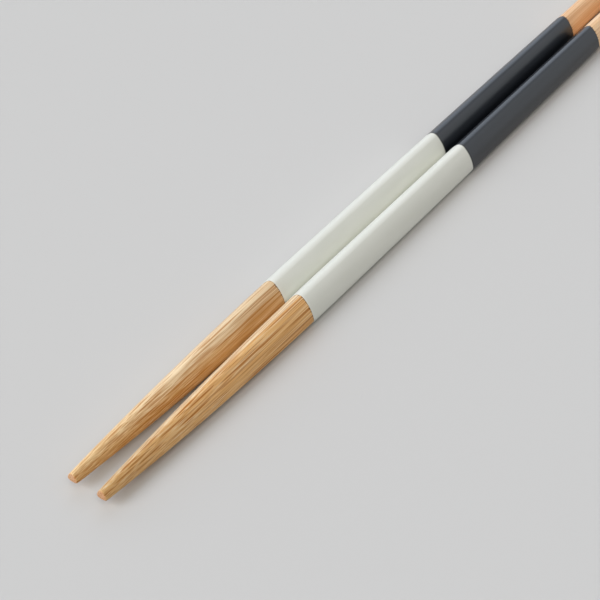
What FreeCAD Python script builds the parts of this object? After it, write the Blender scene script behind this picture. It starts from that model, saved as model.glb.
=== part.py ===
"""Pair of cooking chopsticks: two lacquered bamboo sticks lying side by side.

Each stick is one solid. Its section is a soft three-cornered shape, a crest above a broad
underside, made of three corner arcs and three faintly bulged face arcs that meet tangentially.
The section is lofted along the stick: it swells from a blunt tip to the widest place and then
thins gently towards the handle end. Two lacquered lengths stand proud of the bare bamboo by the
thickness of the lacquer, all the way round.

Frame: millimetres, +X from the tips to the handle ends, +Y from the right stick to the left one,
+Z up. The origin is on the surface that the pair lies on, under the middle of the pair.
"""
import FreeCAD, Part
import math
import os

import Sketcher

SHEET = "Sizes"

# Driving dimensions, in millimetres, apart from the two powers, which are plain numbers.
DIMENSIONS = [
    ("overall_length", 330.0, "tip face to handle face"),
    ("tip_zone_length", 85.0, "bare bamboo at the tip"),
    ("white_zone_length", 83.5, "off-white lacquer"),
    ("dark_zone_length", 79.0, "charcoal lacquer"),
    ("widest_distance", 102.0, "from the tip face to the widest section"),
    ("tip_across", 3.3, "underside to crest at the tip face"),
    ("body_across", 9.4, "underside to crest of the bare bamboo at its widest"),
    ("handle_across", 6.8, "underside to crest at the handle face"),
    ("tip_power", 2.35, "how full the taper towards the tip is"),
    ("handle_power", 1.9, "how late the taper towards the handle starts"),
    ("corner_radius", 1.95, "corner arcs of the bare widest section"),
    ("face_radius", 10.5, "face arcs of the bare widest section"),
    ("tip_corner_radius", 0.92, "corner arcs of the tip face"),
    ("tip_face_radius", 4.0, "face arcs of the tip face"),
    ("lacquer_film", 0.1, "thickness of the lacquer on the bamboo"),
    ("tip_rim_radius", 0.35, "rounding of the tip face's rim"),
    ("handle_rim_radius", 0.7, "rounding of the handle face's rim"),
    ("pair_gap", 0.1, "between the two sticks at their widest"),
]

CORNERS = 3
CORNER_STEP = 2 * math.pi / CORNERS
CREST_ANGLE = math.pi / 2
FACE_TOLERANCE = 1e-4

# Share of each zone's length at which its sections are drawn.
TIP_STATIONS = (0.0, 0.2, 0.45, 0.72, 1.0)
EVEN_STATIONS = (0.0, 1 / 3, 2 / 3, 1.0)


def size(alias):
    """Return the expression that reads one driving dimension."""
    return f"{SHEET}.{alias}"


def make_sheet(doc):
    """Write the driving dimensions to a spreadsheet, one aliased cell each."""
    sheet = doc.addObject("Spreadsheet::Sheet", SHEET)
    for row, (alias, value, meaning) in enumerate(DIMENSIONS, start=1):
        sheet.set(f"A{row}", meaning)
        sheet.set(f"B{row}", str(value))
        sheet.setAlias(f"B{row}", alias)
    doc.recompute()
    return sheet


def across_at(distance):
    """Return the expression for the bare bamboo's height at a distance from the tip face.

    Up to the widest section the height rises from the tip's by a falling power of the distance
    still to go, and beyond it the height drops to the handle's by a power of the distance gone.
    """
    widest, body = size("widest_distance"), size("body_across")
    tip, handle = size("tip_across"), size("handle_across")
    rising = f"{body} - ({body} - {tip}) * (1 - ({distance}) / {widest}) ^ {size('tip_power')}"
    gone = f"(({distance}) - {widest}) / ({size('overall_length')} - {widest})"
    falling = f"{body} - ({body} - {handle}) * ({gone}) ^ {size('handle_power')}"
    return f"(({distance}) < {widest} ? {rising} : {falling})"


def radius_at(across, tip_radius, body_radius):
    """Return the expression for an arc's radius, which follows the section's height."""
    share = f"({across} - {size('tip_across')}) / ({size('body_across')} - {size('tip_across')})"
    return f"({size(tip_radius)} + ({size(body_radius)} - {size(tip_radius)}) * {share})"


def corner_offset(across, corner, face):
    """Return the expression for the distance from the section's middle to each corner's centre.

    The crest stands offset + corner above the middle and the underside face - centre below it,
    where the face arc's centre is as far from a corner's centre as the two radii differ. The
    height is the sum of the two, which leaves one quadratic in the offset.
    """
    surplus = f"({corner} + {face} - {across})"
    return f"(sqrt((4 * ({face} - {corner})^2 - {surplus}^2) / 3) - {surplus}) / 2"


class Section:
    """The expressions of one section: where it is, its arcs and what its coat adds to them."""

    def __init__(self, distance, coat="0"):
        across = across_at(distance)
        bare_corner = radius_at(across, "tip_corner_radius", "corner_radius")
        bare_face = radius_at(across, "tip_face_radius", "face_radius")
        self.distance = distance
        self.offset = corner_offset(across, bare_corner, bare_face)
        self.corner = f"{bare_corner} + {coat}"
        self.face = f"{bare_face} + {coat}"
        self.underside = f"{across} - ({self.offset}) - {bare_corner} + {coat}"
        self.half_width = f"({self.offset}) * cos(30) + {bare_corner} + {coat}"


def arc(centre_x, centre_y, radius, middle, half_span):
    """Return a counter-clockwise arc about a centre, either side of its middle direction."""
    circle = Part.Circle(FreeCAD.Vector(centre_x, centre_y, 0), FreeCAD.Vector(0, 0, 1), radius)
    return Part.ArcOfCircle(circle, middle - half_span, middle + half_span)


def section_arcs(offset, corner, face):
    """Return the six arcs of a section in order, from the crest counter-clockwise."""
    half_face = math.asin(offset * math.sin(CORNER_STEP / 2) / (face - corner))
    half_corner = CORNER_STEP / 2 - half_face
    face_centre = (face - corner) * math.cos(half_face) - offset * math.cos(CORNER_STEP / 2)
    arcs = []
    for index in range(CORNERS):
        out = CREST_ANGLE + index * CORNER_STEP
        arcs.append(arc(offset * math.cos(out), offset * math.sin(out), corner, out, half_corner))
        out += CORNER_STEP / 2
        arcs.append(arc(-face_centre * math.cos(out), -face_centre * math.sin(out), face, out,
                        half_face))
    return arcs


def add_section(body, sheet, name, section):
    """Draw one section across the stick, fully constrained and bound to the sheet."""
    sketch = body.newObject("Sketcher::SketchObject", name)
    plane = next(item for item in body.Origin.OriginFeatures if item.Role == "YZ_Plane")
    sketch.AttachmentSupport = [(plane, "")]
    sketch.MapMode = "FlatFace"
    sketch.setExpression("AttachmentOffset.Base.z", section.distance)

    offset, corner, face = (sheet.evalExpression(text)
                            for text in (section.offset, section.corner, section.face))
    sketch.addGeometry(section_arcs(offset, corner, face))
    crest, left_foot, right_foot = 0, 2, 4
    first_face = 1
    start, end, centre = 1, 2, 3
    origin, vertical_axis = (-1, 1), -2

    named = {
        "crest_rise": ("DistanceY", *origin, crest, centre, offset),
        "foot_drop": ("DistanceY", right_foot, centre, *origin, offset / 2),
        "foot_spread": ("DistanceX", *origin, right_foot, centre, offset * math.cos(math.pi / 6)),
        "corner_radius": ("Radius", crest, corner),
        "face_radius": ("Radius", first_face, face),
    }
    expressions = {
        "crest_rise": section.offset,
        "foot_drop": f"({section.offset}) / 2",
        "foot_spread": f"({section.offset}) * cos(30)",
        "corner_radius": section.corner,
        "face_radius": section.face,
    }
    for label, definition in named.items():
        index = sketch.addConstraint(Sketcher.Constraint(*definition))
        sketch.renameConstraint(index, label)
    sketch.addConstraint(Sketcher.Constraint("PointOnObject", crest, centre, vertical_axis))
    sketch.addConstraint(Sketcher.Constraint("Symmetric", left_foot, centre, right_foot, centre,
                                             vertical_axis))
    for index in (left_foot, right_foot):
        sketch.addConstraint(Sketcher.Constraint("Equal", crest, index))
    for index in (first_face + 2, first_face + 4):
        sketch.addConstraint(Sketcher.Constraint("Equal", first_face, index))
    for index in range(2 * CORNERS):
        following = (index + 1) % (2 * CORNERS)
        sketch.addConstraint(Sketcher.Constraint("Tangent", index, end, following, start))
    for label, expression in expressions.items():
        sketch.setExpression(f"Constraints.{label}", expression)
    return sketch


def add_zone(body, sheet, name, start, length, stations, coat="0"):
    """Loft one zone of the stick through its sections."""
    sketches = [add_section(body, sheet, f"{name}_section_{number}",
                            Section(f"{start} + {length} * {share}", coat))
                for number, share in enumerate(stations, start=1)]
    loft = body.newObject("PartDesign::AdditiveLoft", f"{name}_zone")
    loft.Profile = sketches[0]
    loft.Sections = sketches[1:]
    loft.Ruled = False
    return loft


def round_rim(body, name, distance, radius):
    """Round the edges of the end face that lies at a distance from the tip face."""
    base = body.Tip
    edges = [f"Edge{number}" for number, edge in enumerate(base.Shape.Edges, start=1)
             if all(abs(vertex.X - distance) < FACE_TOLERANCE for vertex in edge.Vertexes)]
    fillet = body.newObject("PartDesign::Fillet", name)
    fillet.Base = (base, edges)
    fillet.setExpression("Radius", radius)
    return fillet


def build_chopstick(doc, sheet, label, side):
    """Build one stick and lay it on its underside beside the middle of the pair.

    side is +1 for the stick at +Y and -1 for the one at -Y.
    """
    body = doc.addObject("PartDesign::Body", label)
    body.Label = label
    film = size("lacquer_film")
    white_start = size("tip_zone_length")
    dark_start = f"{white_start} + {size('white_zone_length')}"
    handle_start = f"{dark_start} + {size('dark_zone_length')}"
    handle_length = f"({size('overall_length')} - ({handle_start}))"
    zones = [
        ("tip", "0", white_start, TIP_STATIONS, "0"),
        ("white", white_start, size("white_zone_length"), EVEN_STATIONS, film),
        ("dark", dark_start, size("dark_zone_length"), EVEN_STATIONS, film),
        ("handle", handle_start, handle_length, EVEN_STATIONS, "0"),
    ]
    for name, start, length, stations, coat in zones:
        add_zone(body, sheet, f"{label}_{name}", start, length, stations, coat)
    doc.recompute()
    round_rim(body, f"{label}_tip_rim", 0.0, size("tip_rim_radius"))
    doc.recompute()
    round_rim(body, f"{label}_handle_rim", sheet.evalExpression(size("overall_length")),
              size("handle_rim_radius"))

    widest = Section(size("widest_distance"), film)
    body.setExpression("Placement.Base.x", f"-{size('overall_length')} / 2")
    body.setExpression("Placement.Base.y", f"{side} * ({widest.half_width} + {size('pair_gap')} / 2)")
    body.setExpression("Placement.Base.z", widest.underside)
    return body


def check(doc, bodies):
    """Stop if any object of the document failed or any stick isn't one valid solid."""
    for item in doc.Objects:
        if {"Invalid", "Error"} & set(item.State):
            raise RuntimeError(f"{item.Name} did not compute: {item.State}")
    for body in bodies:
        shape = body.Shape
        if shape.isNull() or not shape.isValid() or len(shape.Solids) != 1:
            raise RuntimeError(f"{body.Label} is not one valid solid")
        box = shape.BoundBox
        print(f"{body.Label}: volume {shape.Volume:.1f} mm3, box X {box.XMin:.2f} {box.XMax:.2f}"
              f" Y {box.YMin:.2f} {box.YMax:.2f} Z {box.ZMin:.2f} {box.ZMax:.2f}")


def export(bodies):
    """Write each stick to its own STEP file, named after its label."""
    os.makedirs("parts", exist_ok=True)
    for body in bodies:
        body.Shape.exportStep(f"parts/{body.Label}.step")


def main():
    """Build the pair, check it and write its files."""
    doc = FreeCAD.newDocument("cooking_chopsticks")
    sheet = make_sheet(doc)
    bodies = [build_chopstick(doc, sheet, "left_chopstick", 1),
              build_chopstick(doc, sheet, "right_chopstick", -1)]
    doc.recompute()
    check(doc, bodies)
    export(bodies)


main()
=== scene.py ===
"""Looks of a pair of cooking chopsticks: bamboo sticks with off-white and charcoal lacquer.

Each stick is a bamboo core with two lacquer coats on it. All three are grid surfaces worked out
from one tapered, soft three-cornered form, the one that the solid model has. Lengths are in
metres, and in the shader patterns in millimetres. +X runs from the tips to the handle ends, +Y
from the right stick to the left one and +Z up, and the sticks lie on the plane at zero height.
"""

import logging
import math
from dataclasses import dataclass, field
from enum import Enum

import bpy
import numpy as np
from bpy.types import Material, Mesh, Object
from mathutils import Matrix, Vector


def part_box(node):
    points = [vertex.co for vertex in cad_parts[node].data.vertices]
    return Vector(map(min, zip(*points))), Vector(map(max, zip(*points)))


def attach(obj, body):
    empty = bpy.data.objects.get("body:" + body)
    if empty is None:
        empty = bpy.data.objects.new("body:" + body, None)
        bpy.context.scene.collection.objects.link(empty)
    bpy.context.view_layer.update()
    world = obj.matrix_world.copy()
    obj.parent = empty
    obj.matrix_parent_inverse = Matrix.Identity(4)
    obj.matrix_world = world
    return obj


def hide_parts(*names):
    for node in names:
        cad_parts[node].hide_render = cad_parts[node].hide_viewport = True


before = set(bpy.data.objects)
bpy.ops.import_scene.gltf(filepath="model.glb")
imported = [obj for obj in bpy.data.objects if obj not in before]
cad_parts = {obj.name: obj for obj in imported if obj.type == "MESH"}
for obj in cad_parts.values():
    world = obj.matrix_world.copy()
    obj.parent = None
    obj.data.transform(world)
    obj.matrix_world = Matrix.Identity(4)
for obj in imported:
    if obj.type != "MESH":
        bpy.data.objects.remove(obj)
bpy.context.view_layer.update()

LOG = logging.getLogger("chopsticks")
MM = 0.001
TURN = 2 * math.pi
COLUMNS = 168
VECTOR, FLOAT, COLOUR = "NodeSocketVector", "NodeSocketFloat", "NodeSocketColor"
MIX_SHARE, MIX_FIRST, MIX_SECOND, MIX_RESULT = 0, 6, 7, 2

Four = tuple[float, float, float, float]
Three = tuple[float, float, float]
Span = tuple[float, float]
Array = np.ndarray
Socket = bpy.types.NodeSocket
Sockets = bpy.types.bpy_prop_collection


def srgb(red: float, green: float, blue: float) -> Four:
    """Turn a display colour into the linear one that a shader takes.

    Each channel c is c / 12.92 where it is dark, and ((c + 0.055) / 1.055) to the power 2.4
    elsewhere.

    Args:
        red, green, blue: Display values, 0 to 1.

    Returns:
        Linear red, green and blue, and an alpha of 1.
    """
    shares = np.array([red, green, blue])
    linear = np.where(shares <= 0.04045, shares / 12.92, ((shares + 0.055) / 1.055) ** 2.4)
    return (*linear.tolist(), 1.0)


class Side(Enum):
    """The two sticks of the pair, by the CAD node that each one stands for."""

    LEFT = "left_chopstick"
    RIGHT = "right_chopstick"

    @property
    def seed(self) -> int:
        """Seed of this stick's own irregularities."""
        return {Side.LEFT: 11, Side.RIGHT: 29}[self]


class NodeBench:
    """Lays out the nodes of one shader tree, with short calls for the common kinds."""

    def __init__(self, tree: bpy.types.NodeTree) -> None:
        """Start on the tree of a material, a world or a node group."""
        self.tree = tree

    def add(self, kind: str, inputs: dict[str | int, object] | None = None,
            **settings: object) -> Sockets:
        """Add a node.

        Args:
            kind: Name of the node type.
            inputs: What feeds each input, by its name or number.
            **settings: Properties of the node, by name.

        Returns:
            Its outputs, by name.
        """
        node = self.tree.nodes.new(kind)
        for name, value in settings.items():
            setattr(node, name, value)
        for name, value in (inputs or {}).items():
            self.feed(node.inputs[name], value)
        return node.outputs

    def feed(self, socket: Socket, value: object) -> None:
        """Link a socket to another one, or set its value where there is nothing to link.

        Args:
            socket: The input to fill.
            value: An output socket, a number or a sequence of numbers.
        """
        if isinstance(value, Socket):
            self.tree.links.new(value, socket)
        else:
            socket.default_value = value

    def split(self, point: Socket) -> Sockets:
        """Split a vector into its X, Y and Z."""
        return self.add("ShaderNodeSeparateXYZ", {"Vector": point})

    def math(self, operation: str, *values: object, clamp: bool = False) -> Socket:
        """Calculate with sockets or numbers, within 0 and 1 if the result is clamped."""
        return self.add("ShaderNodeMath", dict(enumerate(values)), operation=operation,
                        use_clamp=clamp)["Value"]

    def move(self, point: Socket, scale: Three = (1, 1, 1), turn: float = 0.0,
             shift: Three = (0, 0, 0)) -> Socket:
        """Scale a vector along each axis, turn it about X by some radians and then shift it."""
        inputs = {"Vector": point, "Scale": scale, "Rotation": (turn, 0, 0), "Location": shift}
        return self.add("ShaderNodeMapping", inputs, vector_type="POINT")["Vector"]

    def noise(self, point: Socket, along: float, across: float, detail: float = 1.0,
              roughness: float = 0.5, shift: Three = (0, 0, 0)) -> Socket:
        """Add a noise texture that is drawn out along X.

        Args:
            point: Where it is read, in millimetres.
            along: Features for each millimetre along X.
            across: Features for each millimetre along Y and Z.
            detail: Number of finer layers.
            roughness: Share of each finer layer.
            shift: Place in the texture that it starts from.

        Returns:
            The noise, about 0.5 on average.
        """
        place = self.move(point, scale=(along, across, across), shift=shift)
        inputs = {"Vector": place, "Scale": 1.0, "Detail": detail, "Roughness": roughness}
        return self.add("ShaderNodeTexNoise", inputs, noise_dimensions="3D")["Fac"]

    def blend(self, value: object, low: object, high: object, to_low: float = 0.0,
              to_high: float = 1.0, kind: str = "SMOOTHSTEP") -> Socket:
        """Carry a value from one range to another and hold it at the ends.

        Args:
            value: The value to carry over.
            low: Value that gives to_low.
            high: Value that gives to_high.
            to_low: Result at low.
            to_high: Result at high.
            kind: SMOOTHSTEP or LINEAR.

        Returns:
            The value in the new range.
        """
        inputs = {"Value": value, "From Min": low, "From Max": high, "To Min": to_low,
                  "To Max": to_high}
        return self.add("ShaderNodeMapRange", inputs, interpolation_type=kind,
                        clamp=True)["Result"]

    def mix(self, share: object, first: object, second: object,
            blend_type: str = "MIX") -> Socket:
        """Lay a share of the second colour on the first, in the way that blend_type names."""
        inputs = {MIX_SHARE: share, MIX_FIRST: first, MIX_SECOND: second}
        return self.add("ShaderNodeMix", inputs, data_type="RGBA",
                        blend_type=blend_type)[MIX_RESULT]


class MaterialBench(NodeBench):
    """Lays out a new material around its shader."""

    def __init__(self, name: str) -> None:
        """Start on a new material of that name."""
        self.material = bpy.data.materials.new(name)
        self.material.use_nodes = True
        super().__init__(self.material.node_tree)
        self.shader = self.tree.nodes["Principled BSDF"].inputs

    def dress(self, colour: object, roughness: object, gloss: float) -> None:
        """Set what the surface looks like.

        Args:
            colour: Its colour.
            roughness: Its roughness.
            gloss: Its specular level, the same all over.
        """
        self.feed(self.shader["Base Color"], colour)
        self.feed(self.shader["Roughness"], roughness)
        self.shader["Specular IOR Level"].default_value = gloss

    def emboss(self, height: Socket, depth: float, share: float) -> None:
        """Give the surface a share of a relief that stands out by a depth, in metres."""
        bump = self.add("ShaderNodeBump", {"Height": height, "Distance": depth, "Strength": share})
        self.feed(self.shader["Normal"], bump["Normal"])


class ShaderGroup:
    """A node group with named inputs and outputs, built once and used by several materials."""

    def __init__(self, name: str, inputs: dict[str, str], outputs: dict[str, str]) -> None:
        """Make an empty group.

        Args:
            name: Name of the group.
            inputs: Socket type of each input, by name.
            outputs: Socket type of each output, by name.
        """
        tree = bpy.data.node_groups.new(name, "ShaderNodeTree")
        for in_out, sockets in (("INPUT", inputs), ("OUTPUT", outputs)):
            for label, kind in sockets.items():
                tree.interface.new_socket(label, in_out=in_out, socket_type=kind)
        self.bench = NodeBench(tree)
        self.inputs = self.bench.add("NodeGroupInput")

    def finish(self, **values: object) -> None:
        """Feed the outputs, by name."""
        self.bench.add("NodeGroupOutput", values)

    def place(self, bench: NodeBench, **values: object) -> Sockets:
        """Put the group into another tree, feed its inputs by name and return its outputs."""
        return bench.add("ShaderNodeGroup", values, node_tree=self.bench.tree)


def bundle_lines(bench: NodeBench, section: Socket, pitch: float, width: float,
                 unevenness: float) -> Socket:
    """Draw one family of fibre bundles, each a straight dark thread through the stick.

    The section is split into cells with one bundle in the middle of each, and a random share of
    them is faint.

    Args:
        bench: Tree that it is drawn in.
        section: Place across the stick, in millimetres.
        pitch, width: Usual distance between bundles and width of each, in millimetres.
        unevenness: How far the bundles leave an even spacing, 0 to 1.

    Returns:
        Share of bundle at each place.
    """
    inputs = {"Vector": section, "Scale": 1 / pitch, "Randomness": unevenness}
    cells = bench.add("ShaderNodeTexVoronoi", inputs, voronoi_dimensions="2D", feature="F1")
    lot = bench.add("ShaderNodeSeparateColor", {"Color": cells["Color"]})
    core = bench.blend(cells["Distance"], 0.66 * width / pitch, 0.34 * width / pitch)
    return bench.math("MULTIPLY", core, bench.blend(lot["Red"], 0.05, 0.85, 0.35, 1.0))


def bamboo_grain_group() -> ShaderGroup:
    """Build the grain of split bamboo, as a solid pattern that the taper cuts through.

    Straight fibre bundles run along X through a ground of broad pale and tan layers, light
    strands and hair-fine fibres. Where the surface runs along the bundles they show as long
    lines, where the taper cuts through them as short dashes with pointed ends, and at the end
    face as dots.

    Returns:
        The group. Point is in millimetres, from the tip face and about the stick's axis, and
        Ripeness is the share of tan ground, painted shade on the side away from the light,
        where the bundles are also strongest.
    """
    group = ShaderGroup(
        "bamboo_grain",
        {"Point": VECTOR, "Ripeness": FLOAT, "Pale": COLOUR, "Tan": COLOUR, "Brown": COLOUR},
        {"Color": COLOUR, "Roughness": FLOAT, "Height": FLOAT, "Bundle": FLOAT},
    )
    bench, point, brown = group.bench, group.inputs["Point"], group.inputs["Brown"]
    sway = bench.noise(point, 0.009, 0.06)
    breaks = bench.noise(point, 0.03, 1.1, detail=2.0)
    layer = bench.noise(point, 0.006, 0.75, detail=2.0, roughness=0.6, shift=(3.1, 1.7, 5.3))
    strand = bench.noise(point, 0.008, 2.4, detail=2.0, roughness=0.6)
    hair = bench.noise(point, 0.04, 7.0)

    place = bench.split(point)
    swayed = bench.math("MULTIPLY_ADD", sway, 0.22, place["Y"])
    section = bench.add("ShaderNodeCombineXYZ", {"X": swayed, "Y": place["Z"]})["Vector"]
    coarse = bundle_lines(bench, section, 0.66, 0.44, 0.80)
    fine = bundle_lines(bench, section, 0.40, 0.20, 1.0)
    # Bundle density follows the share of painted shade.
    density = bench.blend(group.inputs["Ripeness"], 0.0, 1.0, 0.85, 1.0, "LINEAR")
    whole = bench.math("MULTIPLY", bench.blend(breaks, 0.34, 0.54, 0.5, 1.0), density)
    bundle = bench.math("MULTIPLY", whole,
                        bench.math("MAXIMUM", coarse, bench.math("MULTIPLY", fine, 0.85)))

    layered = bench.blend(layer, 0.30, 0.70, 0.16, -0.16, "LINEAR")
    haired = bench.blend(hair, 0.30, 0.70, -0.30, 0.45, "LINEAR")
    lined = bench.blend(strand, 0.44, 0.32, -0.05, 0.50)
    paler = bench.math("ADD", bench.math("ADD", layered, haired), lined)
    # Tan share: painted shade on the side away from the light, less a random paler tone.
    shade_tan = bench.math("SUBTRACT", bench.math("MULTIPLY", group.inputs["Ripeness"], 0.94), paler,
                      clamp=True)
    ground = bench.mix(shade_tan, group.inputs["Pale"], group.inputs["Tan"])
    streaked = bench.mix(bench.blend(strand, 0.45, 0.66, 0.0, 0.14), ground, brown)
    pored = bench.mix(bench.math("MULTIPLY", bundle, 0.95), streaked, brown)
    gain = bench.blend(hair, 0.25, 0.75, 0.93, 1.05, "LINEAR")
    shaded = bench.add("ShaderNodeVectorMath", {0: pored, "Scale": gain}, operation="SCALE")

    smooth = bench.blend(hair, 0.30, 0.70, 0.45, 0.55, "LINEAR")
    raised = bench.math("SUBTRACT", bench.math("MULTIPLY", hair, 0.35), bundle)
    group.finish(
        Color=shaded["Vector"],
        Bundle=bundle,
        Roughness=bench.math("ADD", smooth, bench.math("MULTIPLY", bundle, 0.16)),
        Height=bench.math("SUBTRACT", raised, bench.math("MULTIPLY", strand, 0.3)),
    )
    return group


def stain_line_group() -> ShaderGroup:
    """Build the thin stain beside a lacquer edge.

    The stain is full where the distance from the edge is nothing and gone a set width away. It
    has crept furthest into the fibre bundles, and a coarse noise breaks it into dashes.

    Returns:
        The group. Point is in millimetres, Edge the distance of the lacquer's edge along X,
        Width the usual width and Bundle the share of fibre bundle.
    """
    group = ShaderGroup("stain_line",
                        {"Point": VECTOR, "Edge": FLOAT, "Width": FLOAT, "Bundle": FLOAT},
                        {"Mask": FLOAT})
    bench, point, bundle = group.bench, group.inputs["Point"], group.inputs["Bundle"]
    away = bench.math("ABSOLUTE", bench.math("SUBTRACT", bench.split(point)["X"],
                                             group.inputs["Edge"]))
    crept = bench.math("MULTIPLY", group.inputs["Width"], bench.blend(bundle, 0.0, 0.8, 0.6, 1.7))
    dashes = bench.blend(bench.noise(point, 0.01, 1.9), 0.38, 0.58, 0.3, 0.9)
    broken = bench.math("MAXIMUM", dashes, bundle)
    group.finish(Mask=bench.math("MULTIPLY", bench.blend(away, crept, 0.0), broken))
    return group


def lacquer_skin_group() -> ShaderGroup:
    """Build the skin of a brushed and dried lacquer.

    Broad slow waves of colour lie under a fine, even dimpling, and faint rubbed streaks along
    the stick change the sheen.

    Returns:
        The group. Point is in millimetres.
    """
    group = ShaderGroup("lacquer_skin",
                        {"Point": VECTOR, "Colour": COLOUR, "Depth": COLOUR, "Sheen": FLOAT},
                        {"Color": COLOUR, "Roughness": FLOAT, "Height": FLOAT})
    bench, point = group.bench, group.inputs["Point"]
    pools = bench.blend(bench.noise(point, 0.05, 0.25, detail=2.0), 0.35, 0.65)
    rubbed = bench.blend(bench.noise(point, 0.08, 2.2, detail=3.0), 0.3, 0.7, -0.03, 0.04,
                         "LINEAR")
    dimples = bench.noise(point, 1.6, 2.0)
    strokes = bench.noise(point, 0.06, 1.1)
    group.finish(
        Color=bench.mix(pools, group.inputs["Colour"], group.inputs["Depth"]),
        Roughness=bench.math("ADD", group.inputs["Sheen"], rubbed),
        Height=bench.math("ADD", dimples, bench.math("MULTIPLY", strokes, 0.8)),
    )
    return group


@dataclass
class GroupShelf:
    """The shader groups that the finishes share."""

    grain: ShaderGroup = field(default_factory=bamboo_grain_group)
    stain: ShaderGroup = field(default_factory=stain_line_group)
    skin: ShaderGroup = field(default_factory=lacquer_skin_group)


@dataclass(frozen=True)
class Lie:
    """Where a stick lies, which its patterns are laid out from.

    Attributes:
        start: X of the tip face.
        axis: Y and Z of the stick's axis.
        lot: Turn about the axis, in radians, which gives each stick its own grain.
        drift: How far the grain is shifted for each radian of that turn, in millimetres.
    """

    start: float
    axis: Span
    lot: float
    drift: Three = (0.0, 13.7, 5.1)

    def point(self, bench: NodeBench) -> Socket:
        """Read the place on the stick in millimetres, from the tip face and about the axis."""
        return bench.move(bench.add("ShaderNodeTexCoord")["Object"], scale=(1 / MM,) * 3,
                          shift=tuple(-place / MM for place in (self.start, *self.axis)))

    def cut(self, bench: NodeBench, point: Socket) -> Socket:
        """Turn and shift a place, as if each stick were cut from its own part of a bamboo stem."""
        shift = tuple(step * self.lot for step in self.drift)
        return bench.move(point, turn=self.lot, shift=shift)


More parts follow.
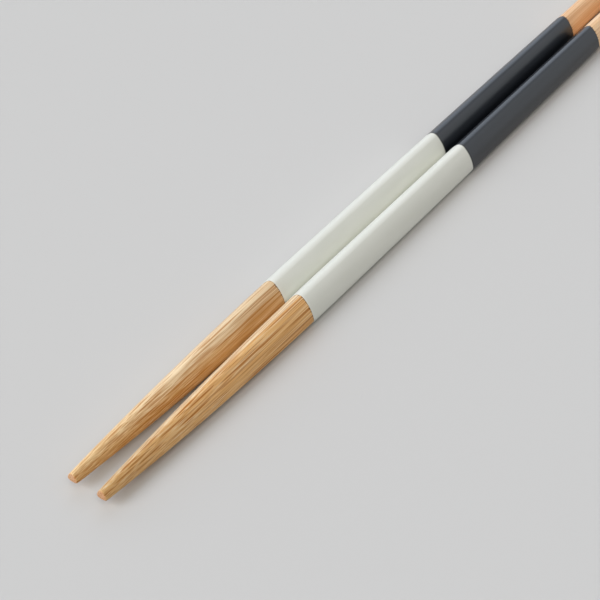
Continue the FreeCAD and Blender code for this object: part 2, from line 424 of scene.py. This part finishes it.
@dataclass(frozen=True)
class BambooFinish:
    """Bare, lightly oiled bamboo. Places along it are in millimetres from the tip face.

    Attributes:
        pale: Pale ground between the fibres.
        tan: Darker ground.
        brown: Fibre bundles.
        shade_way: Y and Z of the direction in which the ground is painted darker, as shade on the
            lower side away from the light; the lit upper side is painted pale, as sheen.
        shade_tan: Distances in that direction, in millimetres, where that painted darker ground
            starts and is full.
        tip: Tint of the stretch behind the tip face.
        tip_at: Where that tint has faded and where it is full.
        tip_calm: How far the grain fades into the darker ground there.
        tip_shade_shift: How much further from that face the painted darker ground reaches there.
        band: Tint of the stretch before the lacquer, painted shade where it darkens it.
        band_at: Where that tint starts, is full, starts to fade and has faded.
        handle: Tint of the handle's bamboo.
        handle_at: The same four places of the handle's tint.
        handle_shares: Its share where it is full, and the part of that share beyond.
        end: Colour of the cut end faces between the fibre bundles.
        end_at: Where that colour starts and is full, at the tip and at the handle.
        end_shares: Its share at the tip and at the handle.
        end_dots: Share of brown in the bundles' dots.
        stain: Stain beside a lacquer edge.
        stain_at: Where the edges are that have one.
        stain_width: Its usual width, in millimetres.
        gloss: Specular level.
        relief, relief_share: Height of the fibre relief, in metres, and share that shows.
    """

    pale: Four = srgb(0.930, 0.852, 0.705)
    tan: Four = srgb(0.898, 0.700, 0.440)
    brown: Four = srgb(0.668, 0.405, 0.135)
    # Painted light: ground pale on the lit upper side as sheen, tan on the shaded lower side as
    # shade.
    shade_way: Span = (-1.0, -0.5)
    shade_tan: Span = (-3.4, -1.9)
    tip: Four = srgb(0.930, 0.935, 0.935)
    tip_at: Span = (45.0, 5.0)
    tip_calm: float = 0.20
    tip_shade_shift: float = -1.5
    band: Four = srgb(1.0, 1.0, 1.0)
    band_at: Four = (50.0, 72.0, 100.0, 120.0)
    handle: Four = srgb(0.960, 0.760, 0.560)
    handle_at: Four = (242.5, 247.5, 262.5, 282.5)
    handle_shares: Span = (0.60, 0.55)
    end: Four = srgb(0.800, 0.590, 0.470)
    end_at: tuple[Span, Span] = ((0.30, 0.05), (329.55, 329.80))
    end_shares: Span = (0.60, 0.45)
    end_dots: float = 0.55
    stain: Four = srgb(0.260, 0.170, 0.100)
    stain_at: Span = (85.0, 247.5)
    stain_width: float = 0.42
    gloss: float = 0.28
    relief: float = 0.00003
    relief_share: float = 0.6

    def material(self, name: str, shelf: GroupShelf, lie: Lie) -> Material:
        """Make the material of one stick's core.

        Args:
            name: Name of the material.
            shelf: The shared groups.
            lie: Where the stick lies.

        Returns:
            The material.
        """
        bench = MaterialBench(name)
        point = lie.point(bench)
        place = bench.split(point)
        at_tip = bench.blend(place["X"], *self.tip_at)
        # Painted light: the ground turns tan towards the shaded lower side and pale towards the
        # lit upper side, as shade and sheen.
        shadeward = bench.math("MULTIPLY_ADD", place["Z"], self.shade_way[1],
                             bench.math("MULTIPLY", place["Y"], self.shade_way[0]))
        shifted = bench.math("MULTIPLY_ADD", at_tip, self.tip_shade_shift, shadeward)
        grain = shelf.grain.place(bench, Point=lie.cut(bench, point), Pale=self.pale,
                                  Ripeness=bench.blend(shifted, *self.shade_tan), Tan=self.tan,
                                  Brown=self.brown)
        marks = [shelf.stain.place(bench, Point=point, Edge=edge, Width=self.stain_width,
                                   Bundle=grain["Bundle"])["Mask"] for edge in self.stain_at]
        tinted = self.tinted(bench, place["X"], at_tip, grain)
        bench.dress(bench.mix(bench.math("MAXIMUM", *marks), tinted, self.stain),
                    grain["Roughness"], self.gloss)
        bench.emboss(grain["Height"], self.relief, self.relief_share)
        return bench.material

    def tinted(self, bench: NodeBench, along: Socket, at_tip: Socket, grain: Sockets) -> Socket:
        """Lay the tints of the tip, the stretch before the lacquer, the handle and the ends.

        Args:
            bench: Tree that they are laid in.
            along: Distance from the tip face.
            at_tip: Share of the tip's tint.
            grain: What the grain group puts out.

        Returns:
            The grain's colour under the tints.
        """
        calmed = bench.mix(bench.math("MULTIPLY", at_tip, self.tip_calm), grain["Color"],
                           self.tan)
        tipped = bench.mix(at_tip, calmed, self.tip, "MULTIPLY")
        # Painted shade: the band tint darkens the stretch before the lacquer.
        at_band = bench.math("MULTIPLY", bench.blend(along, *self.band_at[:2]),
                             bench.blend(along, *self.band_at[2:], 1.0, 0.0))
        banded = bench.mix(at_band, tipped, self.band, "MULTIPLY")
        full, left = self.handle_shares
        at_handle = bench.math("MULTIPLY", bench.blend(along, *self.handle_at[:2], 0.0, full),
                               bench.blend(along, *self.handle_at[2:], 1.0, left))
        handled = bench.mix(at_handle, banded, self.handle)
        dotted = bench.mix(bench.math("MULTIPLY", grain["Bundle"], self.end_dots), self.end,
                           self.brown)
        at_end = bench.math("MAXIMUM", *(bench.blend(along, *where, 0.0, share)
                                         for where, share in zip(self.end_at, self.end_shares)))
        return bench.mix(at_end, handled, dotted)


@dataclass(frozen=True)
class LacquerFinish:
    """One colour of satin lacquer.

    Attributes:
        colour: Colour of the film.
        depth: Colour where the film lies a little thicker.
        sheen: Roughness of the surface.
        gloss: Specular level.
        joint: Where the next lacquer has run over the edge, in millimetres from the tip face.
        run: Colour of what has run over it.
        run_width: Usual width of that line, in millimetres.
        relief, relief_share: Height of the dimpling, in metres, and share that shows.
    """

    colour: Four
    depth: Four
    sheen: float
    gloss: float
    joint: float | None = None
    run: Four = srgb(0.060, 0.068, 0.078)
    run_width: float = 0.36
    relief: float = 0.000006
    relief_share: float = 0.22

    def material(self, name: str, shelf: GroupShelf, lie: Lie) -> Material:
        """Make the material of one coat.

        Args:
            name: Name of the material.
            shelf: The shared groups.
            lie: Where the stick lies.

        Returns:
            The material.
        """
        bench = MaterialBench(name)
        point = lie.point(bench)
        skin = shelf.skin.place(bench, Point=lie.cut(bench, point), Colour=self.colour,
                                Depth=self.depth, Sheen=self.sheen)
        colour = skin["Color"]
        if self.joint is not None:
            line = shelf.stain.place(bench, Point=point, Edge=self.joint, Width=self.run_width,
                                     Bundle=1.0)
            colour = bench.mix(line["Mask"], colour, self.run)
        bench.dress(colour, skin["Roughness"], self.gloss)
        bench.emboss(skin["Height"], self.relief, self.relief_share)
        return bench.material


class Lacquer(Enum):
    """The two lacquers on each stick."""

    WHITE = LacquerFinish(colour=srgb(0.871, 0.876, 0.842), depth=srgb(0.859, 0.865, 0.829),
                          sheen=0.46, gloss=0.12, joint=168.5)
    CHARCOAL = LacquerFinish(colour=srgb(0.075, 0.090, 0.110), depth=srgb(0.070, 0.082, 0.100),
                             sheen=0.31, gloss=0.66)


@dataclass(frozen=True)
class StickForm:
    """Form of one bare bamboo stick, a rounded three-cornered section along a straight axis.

    Attributes:
        length: Tip face to handle face.
        widest: Distance of the widest section from the tip face.
        tip_across, body_across, handle_across: Height of the section at the tip face, where it
            is widest and at the handle face.
        tip_power: How full the taper towards the tip is.
        handle_power: How late the taper towards the handle starts.
        corners: Radius of the corner arcs at the tip face and at the widest section.
        faces: Radius of the face arcs at the same two places.
    """

    length: float = 0.330
    widest: float = 0.102
    tip_across: float = 0.0033
    body_across: float = 0.0094
    handle_across: float = 0.0068
    tip_power: float = 2.35
    handle_power: float = 1.9
    corners: Span = (0.00092, 0.00195)
    faces: Span = (0.0040, 0.0105)

    def across(self, distance: Array) -> Array:
        """Work out the section's height.

        Before the widest section, the height falls short of the widest by the difference to the
        tip, times the share of the way still to go to a power. Beyond it, the height falls short
        by the difference to the handle, times the share of the way gone to a power.

        Args:
            distance: Distances from the tip face.

        Returns:
            The height at each distance.
        """
        to_go = np.clip(1 - distance / self.widest, 0, None)
        gone = np.clip((distance - self.widest) / (self.length - self.widest), 0, None)
        return (self.body_across - (self.body_across - self.tip_across) * to_go**self.tip_power
                - (self.body_across - self.handle_across) * gone**self.handle_power)

    def arcs(self, distance: Array) -> tuple[Array, Array, Array]:
        """Work out the radii of a section's arcs and where its corners are.

        Both radii follow the height. With u the sum of the radii less the height, the corners'
        centres lie (sqrt((4 (face - corner)^2 - u^2) / 3) - u) / 2 from the middle, which makes
        the section as high as it should be.

        Args:
            distance: Distances from the tip face.

        Returns:
            Corner radius, face radius and corner offset at each distance.
        """
        across = self.across(distance)
        share = (across - self.tip_across) / (self.body_across - self.tip_across)
        corner, face = (low + (high - low) * share for low, high in (self.corners, self.faces))
        surplus = corner + face - across
        offset = (np.sqrt((4 * (face - corner)**2 - surplus**2) / 3) - surplus) / 2
        return corner, face, offset

    def underside(self) -> float:
        """Return how far the bare widest section reaches below the axis."""
        corner, _, offset = (float(value[0]) for value in self.arcs(np.array([self.widest])))
        return self.body_across - offset - corner

    def surface(self, distance: Array, lift: Array, turn: Array) -> Array:
        """Work out points on the form, or at a height above it.

        A direction about the axis belongs to the corner nearest to it, at 90, 210 or 330
        degrees. Within 60 degrees less half a face's span of that corner, the point is the
        corner's centre plus the corner radius along the direction. Elsewhere it is the face
        arc's centre, which lies beyond the axis, plus the face radius along the direction. The
        lift is added to either radius, so it moves the point along the surface's normal.

        Args:
            distance: Distance of each point from the tip face, rows by columns.
            lift: Height of each point above the form, rows by columns.
            turn: Direction of each point's normal, in radians from +Y towards +Z.

        Returns:
            Points, rows by columns by 3: distance, and Y and Z from the axis.
        """
        corner, face, offset = self.arcs(distance)
        step = TURN / 3
        out = TURN / 4 + step * np.round((turn - TURN / 4) / step)
        off = turn - out
        middle = out + np.sign(off) * step / 2
        half_face = np.arcsin(offset * math.sin(step / 2) / (face - corner))
        centre = (face - corner) * np.cos(half_face) - offset / 2
        on_corner = np.abs(off) <= step / 2 - half_face
        cos, sin = np.cos(turn), np.sin(turn)
        y = np.where(on_corner, offset * np.cos(out) + (corner + lift) * cos,
                     (face + lift) * cos - centre * np.cos(middle))
        z = np.where(on_corner, offset * np.sin(out) + (corner + lift) * sin,
                     (face + lift) * sin - centre * np.sin(middle))
        return np.stack([distance, y, z], axis=-1)


def spread_rows(distance: Array) -> tuple[Array, Array]:
    """Work out the distance and the direction of each point, for rows at given distances."""
    turn = np.linspace(0, TURN, COLUMNS, endpoint=False)
    return np.broadcast_arrays(distance[:, None], turn[None, :])


def smooth_mesh(name: str, points: Array, *faces: Array) -> Mesh:
    """Make a smooth-shaded mesh.

    Args:
        name: Name of the mesh.
        points: Points by 3.
        *faces: Faces by their point numbers, in one array for each number of corners.

    Returns:
        The mesh.
    """
    made = bpy.data.meshes.new(name)
    made.from_pydata(points.tolist(), [], [face for group in faces for face in group.tolist()])
    made.polygons.foreach_set("use_smooth", np.ones(len(made.polygons), dtype=bool))
    made.update()
    return made


class GridSurface:
    """A grid of points that closes about the stick's axis, turned into a mesh."""

    def __init__(self, points: Array) -> None:
        """Take the grid, as rows along the stick by columns about it by 3."""
        self.points = points
        self.rows, self.columns = points.shape[:2]
        self.column = np.arange(self.columns)
        self.after = (self.column + 1) % self.columns

    def bands(self, rows: Array, following: Array) -> Array:
        """Join rows of points to the rows that follow them.

        Point j of a row, point j + 1, and the same two points of the following row make a
        four-cornered face. The last column joins the first.

        Args:
            rows: Numbers of the rows.
            following: Numbers of the rows that they are joined to.

        Returns:
            Faces by 4 point numbers, wound so that they face away from the axis.
        """
        near, far = rows[:, None] * self.columns, following[:, None] * self.columns
        return np.stack([near + self.column, near + self.after, far + self.after,
                         far + self.column], axis=-1).reshape(-1, 4)

    def sleeve(self, name: str) -> Mesh:
        """Make the mesh of a sleeve, whose last row joins its first."""
        rows = np.arange(self.rows)
        return smooth_mesh(name, self.points.reshape(-1, 3), self.bands(rows, np.roll(rows, -1)))

    def bar(self, name: str) -> Mesh:
        """Make the mesh of a bar, with a point in the middle of each end.

        Args:
            name: Name of the mesh.

        Returns:
            The mesh.
        """
        rows = np.arange(self.rows - 1)
        first = self.rows * self.columns
        last_row = first - self.columns
        tip = np.stack([np.full_like(self.column, first), self.after, self.column], axis=-1)
        handle = np.stack([np.full_like(self.column, first + 1), last_row + self.column,
                           last_row + self.after], axis=-1)
        middles = self.points[[0, -1]].mean(axis=1)
        return smooth_mesh(name, np.concatenate([self.points.reshape(-1, 3), middles]),
                           self.bands(rows, rows + 1), tip, handle)


@dataclass(frozen=True)
class Ripple:
    """A small irregularity of hand work, the same on each run.

    Attributes:
        seed: Seed of its phases.
        waves: Number of waves that are added up.
        highest: Most waves about the stick.
        pitch: Shortest wave along the stick.
    """

    seed: int
    waves: int = 9
    highest: int = 6
    pitch: float = 0.020

    def __call__(self, distance: Array, turn: Array) -> Array:
        """Add up the waves.

        Each wave is a cosine of a whole number of turns about the stick, plus a number of turns
        for each metre along it, plus a phase, and weighs less the more turns it makes.

        Args:
            distance: Distances from the tip face.
            turn: Directions about the axis.

        Returns:
            Values between 0 and 1.
        """
        draw = np.random.default_rng(self.seed)
        about = draw.integers(1, self.highest + 1, self.waves)
        along = draw.uniform(-1, 1, self.waves) * TURN / self.pitch
        phase = draw.uniform(0, TURN, self.waves)
        weight = 1 / about
        angle = about * turn[..., None] + along * distance[..., None] + phase
        return 0.5 + 0.5 * (weight * np.cos(angle)).sum(axis=-1) / weight.sum()


@dataclass(frozen=True)
class LacquerEdge:
    """The edge of a lacquer coat, masked off by hand, so that it wavers a little.

    Attributes:
        distance: Distance from the tip face.
        seed: Seed of the wavering.
        waver: Most that the edge leaves its distance by.
        fade: Distance from the edge over which the wavering dies away.
    """

    distance: float
    seed: int
    waver: float = 0.00006
    fade: float = 0.0015

    def shift(self, distance: Array, turn: Array) -> Array:
        """Work out how far points are moved along the stick.

        The waver times a ripple between -1 and 1, times a bell curve of the distance from the
        edge.

        Args:
            distance: Distances from the tip face.
            turn: Directions about the axis.

        Returns:
            The move of each point along X.
        """
        ripple = 2 * Ripple(self.seed, highest=9)(np.full_like(distance, self.distance), turn) - 1
        return self.waver * ripple * np.exp(-((distance - self.distance) / self.fade)**2)


@dataclass
class BambooCore:
    """The bamboo of one stick, with rounded rims at both ends.

    Attributes:
        form: Form of the stick.
        seed: Seed of the hand work.
        tip_rim, handle_rim: Rounding of the rims of the two end faces.
        rim_rows: Rows of points in either rounding.
        crown: How far the middle of an end face stands proud of its rim.
        face_rows: Share of the radius of an end face's first and last row, and their number.
        stops: Distances from the tip face where the rows change their spacing.
        rows: Rows of points from the tip's rim over each stop to the handle's rim.
        relief: Most that hand work took off the form.
        chip: Depth at the tip's rim where twice a ripple passes the floor by 1.
        chip_floor: What twice the ripple has to pass before the rim is chipped.
        chip_reach: Distance from the tip face over which the chips die away.
    """

    form: StickForm
    seed: int
    tip_rim: float = 0.00035
    handle_rim: float = 0.0007
    rim_rows: int = 10
    crown: float = 0.00006
    face_rows: tuple[float, float, int] = (0.12, 0.94, 8)
    stops: Three = (0.012, 0.086, 0.2465)
    rows: tuple[int, int, int, int] = (40, 125, 60, 100)
    relief: float = 0.00004
    chip: float = 0.00010
    chip_floor: float = 0.6
    chip_reach: float = 0.0006

    def profile(self) -> tuple[Array, Array]:
        """Work out the rows of the grid between the two end faces.

        A quarter circle takes the tip's rim from the end face to the form, rows then follow the
        form, close together where it is bare, and a quarter circle takes the handle's rim to the
        other end face.

        Returns:
            Distance from the tip face and height above the form of each row.
        """
        quarter = np.linspace(0, TURN / 4, self.rim_rows)
        setback, drop = 1 - np.cos(quarter), 1 - np.sin(quarter)
        tip = self.crown + self.tip_rim * setback
        handle = self.form.length - self.crown - self.handle_rim * setback[::-1]
        stops = (tip[-1], *self.stops, handle[0])
        bare = np.concatenate([np.linspace(first, last, count)
                               for first, last, count in zip(stops, stops[1:], self.rows)])
        bare = np.unique(np.round(bare, 7))[1:-1]
        lift = np.concatenate([-self.tip_rim * drop, np.zeros_like(bare),
                               -self.handle_rim * drop[::-1]])
        return np.concatenate([tip, bare, handle]), lift

    def points(self) -> Array:
        """Work out the grid: the form less its rims, less what hand work took off.

        The end faces' inner rows are the rims' first rows drawn in towards their middles, and
        each stands proud by the crown times one less the square of its share of the radius.

        Returns:
            Rows by columns by 3, from the tip face and about the axis.
        """
        distance, lift = self.profile()
        rows, turns = spread_rows(distance)
        worn = self.relief * Ripple(self.seed)(rows, turns)
        missing = self.chip * Ripple(self.seed + 1, highest=11)(0 * rows, turns)
        chipped = (np.clip(2 * missing - self.chip * self.chip_floor, 0, None)
                   * np.exp(-rows / self.chip_reach))
        wall = self.form.surface(rows, lift[:, None] - worn - chipped, turns)
        shares = np.linspace(*self.face_rows)
        return np.concatenate([self.end_face(wall[0], shares, -self.crown), wall,
                               self.end_face(wall[-1], shares[::-1], self.crown)])

    @staticmethod
    def end_face(rim: Array, shares: Array, crown: float) -> Array:
        """Work out the inner rows of an end face.

        Args:
            rim: The rim's points.
            shares: Share of the radius of each row.
            crown: How far the middle stands beyond the rim along X.

        Returns:
            Rows by columns by 3.
        """
        middle = rim.mean(axis=0)
        rows = middle + shares[:, None, None] * (rim - middle)
        rows[..., 0] += crown * (1 - shares[:, None]**2)
        return rows


@dataclass
class LacquerCoat:
    """One lacquer coat of a stick, a thin closed sleeve with rounded lips.

    Attributes:
        form: Form of the stick.
        start: Edge nearer to the tip.
        end: Edge nearer to the handle.
        film: Thickness on the bamboo.
        lip: Height of the rounding of the film's edges.
        lip_length: Length of that rounding along the stick.
        root: How far the sleeve reaches into the bamboo.
        margin: Distance from an edge to the first row past its rounding.
        rows: Rows of points in either rounding, along the film and inside the bamboo.
    """

    form: StickForm
    start: LacquerEdge
    end: LacquerEdge
    film: float
    lip: float = 0.00008
    lip_length: float = 0.00025
    root: float = 0.00008
    margin: float = 0.0006
    rows: tuple[int, int, int] = (7, 84, 12)

    def points(self) -> Array:
        """Work out the grid: out of the bamboo, over the lip, along the film and back inside.

        Returns:
            Rows by columns by 3, from the tip face and about the axis.
        """
        lip_rows, film_rows, root_rows = self.rows
        quarter = np.linspace(0, TURN / 4, lip_rows)
        rise = self.film - self.lip * (1 - np.sin(quarter))
        setback = self.lip_length * (1 - np.cos(quarter))
        first, last = self.start.distance, self.end.distance
        outside = np.linspace(first + self.margin, last - self.margin, film_rows)
        inside = np.linspace(last, first, root_rows)
        lift = np.concatenate([rise, np.full_like(outside, self.film), rise[::-1],
                               np.full_like(inside, -self.root)])
        rows, turns = spread_rows(
            np.concatenate([first + setback, outside, last - setback[::-1], inside]))
        shifted = rows + self.start.shift(rows, turns) + self.end.shift(rows, turns)
        return self.form.surface(shifted, np.broadcast_to(lift[:, None], rows.shape), turns)


def show(name: str, data: bpy.types.ID) -> Object:
    """Make an object and put it into the scene.

    Args:
        name: Name of the object.
        data: Its mesh, light or camera.

    Returns:
        The object.
    """
    shown = bpy.data.objects.new(name, data)
    bpy.context.scene.collection.objects.link(shown)
    return shown


@dataclass
class Chopstick:
    """One stick of the pair: its core and its two coats, in place of its CAD node.

    Attributes:
        side: Which stick it is.
        shelf: The shared shader groups.
        bamboo: Finish of the core.
        form: Form of the bare stick.
        film: Thickness of the lacquer.
        slack: How far the whole stick stays inside its CAD solid.
        edges: Distances of the lacquers' three edges from the tip face.
        lot_step: Turn of the grain for each unit of the stick's seed, in radians.
    """

    side: Side
    shelf: GroupShelf
    bamboo: BambooFinish
    form: StickForm = field(default_factory=StickForm)
    film: float = 0.0001
    slack: float = 0.00001
    edges: Three = (0.0850, 0.1685, 0.2475)
    lot_step: float = 0.37

    def lie(self) -> Lie:
        """Work out where the stick lies, from its CAD node's box.

        Returns:
            Where it lies, with a turn of the grain that goes by the stick's seed.
        """
        low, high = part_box(self.side.value)
        middle = (low + high) / 2
        drop = self.form.body_across / 2 - self.form.underside()
        return Lie(low.x, (middle.y, middle.z - drop), self.lot_step * self.side.seed)

    def piece(self, mesh: Mesh, material: Material) -> Object:
        """Make one piece of the stick, which rides on the root body.

        Args:
            mesh: Its mesh, which it takes its name from.
            material: Its finish.

        Returns:
            The piece.
        """
        mesh.materials.append(material)
        piece = show(mesh.name, mesh)
        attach(piece, "root")
        LOG.info("%s: %d points, %d faces", mesh.name, len(mesh.vertices), len(mesh.polygons))
        return piece

    def build(self) -> list[Object]:
        """Build the stick.

        Returns:
            Its pieces.
        """
        lie, seed, stick = self.lie(), self.side.seed, self.side.name.lower()
        place = np.array([lie.start, *lie.axis])
        name = f"{self.side.value}_core"
        grid = GridSurface(BambooCore(self.form, seed).points() + place)
        core = self.piece(grid.bar(name), self.bamboo.material(f"bamboo_{stick}", self.shelf, lie))
        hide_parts(self.side.value)
        pieces = [core]
        edges = [LacquerEdge(edge, seed + step) for step, edge in enumerate(self.edges, 3)]
        for lacquer, first, last in zip(Lacquer, edges, edges[1:]):
            label = f"{lacquer.name.lower()}_lacquer"
            coat = LacquerCoat(self.form, first, last, self.film - self.slack)
            mesh = GridSurface(coat.points() + place).sleeve(f"{self.side.value}_{label}")
            finish = lacquer.value.material(f"{label}_{stick}", self.shelf, lie)
            pieces.append(self.piece(mesh, finish))
        return pieces


@dataclass(frozen=True)
class Lamp:
    """A far, broad lamp, which lights the whole scene evenly.

    Attributes:
        name: Name of the lamp.
        towards: Direction from the object to the lamp.
        level: What it adds to a white surface that faces it, where 1 is white.
        spread: Angle that it takes up in the sky, in degrees.
        colour: Its colour.
    """

    name: str
    towards: Three
    level: float
    spread: float
    colour: Three

    def build(self) -> None:
        """Hang the lamp."""
        data = bpy.data.lights.new(self.name, "SUN")
        data.energy = self.level * math.pi
        data.angle = math.radians(self.spread)
        data.color = self.colour
        lamp = show(self.name, data)
        lamp.rotation_euler = Vector(self.towards).to_track_quat("Z", "Y").to_euler()
        LOG.info("lamp %s: level %.2f", self.name, self.level)


@dataclass
class Studio:
    """A plain pale floor, soft light and the camera.

    Attributes:
        floor_colour: Colour of the floor.
        floor_sheen, floor_gloss: Its roughness and its specular level.
        floor_radius, floor_corners: Its radius and how many corners it has.
        sky: Colour of the room all round, which the camera and the lacquer's gloss see.
        sky_level: How light it looks, where 1 is white.
        glow: Level of the light that comes from it.
        lamps: The lamps.
        eye, target: Place of the camera, and the one on the floor that it looks at.
        roll: Turn of the camera about its view, in degrees.
        lens, sensor: Focal length and width of the sensor, in millimetres.
        clip: Nearest and furthest distance that the camera sees.
    """

    floor_colour: Four = srgb(0.780, 0.778, 0.768)
    floor_sheen: float = 0.9
    floor_gloss: float = 0.1
    floor_radius: float = 12.0
    floor_corners: int = 96
    sky: Four = (0.96, 1.0, 1.05, 1.0)
    sky_level: float = 0.60
    glow: float = 0.005
    lamps: tuple[Lamp, ...] = (
        Lamp("window", (-0.682, 0.394, 0.616), 0.730, 35.0, (0.99, 1.00, 1.04)),
        Lamp("low_window", (0.000, 0.970, 0.242), 0.120, 40.0, (1.00, 1.00, 1.00)),
        Lamp("back_window", (0.577, 0.600, 0.554), 0.225, 60.0, (0.86, 1.00, 1.22)),
        Lamp("ceiling", (-0.332, -0.332, 0.883), 0.410, 50.0, (1.07, 1.00, 0.92)),
        Lamp("room", (0.577, 0.000, 0.816), 0.100, 80.0, (0.90, 1.00, 1.18)),
        Lamp("wall", (0.500, -0.820, 0.283), 0.115, 70.0, (0.93, 1.00, 1.06)),
    )
    eye: Three = (-0.36268, -0.22262, 0.34259)
    target: Three = (-0.07356, 0.0, 0.0)
    roll: float = -1.449
    lens: float = 104.5
    sensor: float = 36.0
    clip: Span = (0.01, 50.0)

    def floor(self) -> None:
        """Lay the floor, a round sheet that isn't part of the object.

        The point at each angle lies at the radius, and one face joins them all.
        """
        angle = np.linspace(0, TURN, self.floor_corners, endpoint=False)
        rim = np.stack([np.cos(angle), np.sin(angle), np.zeros_like(angle)], axis=-1)
        mesh = smooth_mesh("floor", rim * self.floor_radius, np.arange(len(angle))[None, :])
        bench = MaterialBench("pale_floor")
        bench.dress(self.floor_colour, self.floor_sheen, self.floor_gloss)
        mesh.materials.append(bench.material)
        show("floor", mesh)

    def light(self) -> None:
        """Set up the room all round and hang the lamps."""
        world = bpy.data.worlds.new("studio")
        world.use_nodes = True
        bench = NodeBench(world.node_tree)
        background = world.node_tree.nodes["Background"].inputs
        background["Color"].default_value = self.sky
        path = bench.add("ShaderNodeLightPath")
        bounced = bench.math("MAXIMUM", path["Is Glossy Ray"], path["Is Transmission Ray"])
        seen = bench.math("MAXIMUM", path["Is Camera Ray"], bounced)
        bench.feed(background["Strength"],
                   bench.blend(seen, 0.0, 1.0, self.glow, self.sky_level, "LINEAR"))
        bpy.context.scene.world = world
        for lamp in self.lamps:
            lamp.build()

    def camera(self) -> None:
        """Set up the camera.

        Its axes are the view from the eye to the target, the level direction across it and the
        direction above both, turned about the view by the roll.
        """
        eye, target = Vector(self.eye), Vector(self.target)
        back = (eye - target).normalized()
        right = Vector((0, 0, 1)).cross(back).normalized()
        level = Matrix((right, back.cross(right), back)).transposed()
        turned = level @ Matrix.Rotation(math.radians(self.roll), 3, "Z")
        data = bpy.data.cameras.new("camera")
        data.lens = self.lens
        data.sensor_width = self.sensor
        data.clip_start, data.clip_end = self.clip
        camera = show("camera", data)
        camera.matrix_world = Matrix.Translation(eye) @ turned.to_4x4()
        bpy.context.scene.camera = camera

    def build(self) -> None:
        """Set up the whole studio."""
        bpy.context.scene.view_settings.view_transform = "Standard"
        self.floor()
        self.light()
        self.camera()


def main() -> None:
    """Build the pair and the studio, and report each piece."""
    logging.basicConfig(level=logging.INFO, format="%(message)s")
    shelf = GroupShelf()
    # Both sticks' ground is painted pale on the lit upper side and tan on the shaded lower side,
    # as sheen and shade.
    yellow = BambooFinish(
        pale=srgb(0.950, 0.855, 0.700), tan=srgb(0.810, 0.625, 0.380),
        brown=srgb(0.710, 0.475, 0.220), shade_tan=(-2.0, 3.6), tip=srgb(0.990, 0.955, 0.880),
        # band darkens the left stick's middle stretch as painted shade.
        tip_calm=0.0, tip_shade_shift=0.1, band=srgb(0.955, 0.948, 0.940),
        handle=srgb(0.900, 0.700, 0.530))
    brown = BambooFinish(handle=srgb(0.970, 0.840, 0.690))
    for side, bamboo in ((Side.LEFT, yellow), (Side.RIGHT, brown)):
        pieces = Chopstick(side, shelf, bamboo).build()
        LOG.info("%s: %d pieces in place of the CAD node", side.value, len(pieces))
    Studio().build()
    bpy.context.view_layer.update()


if __name__ == "__main__":
    main()
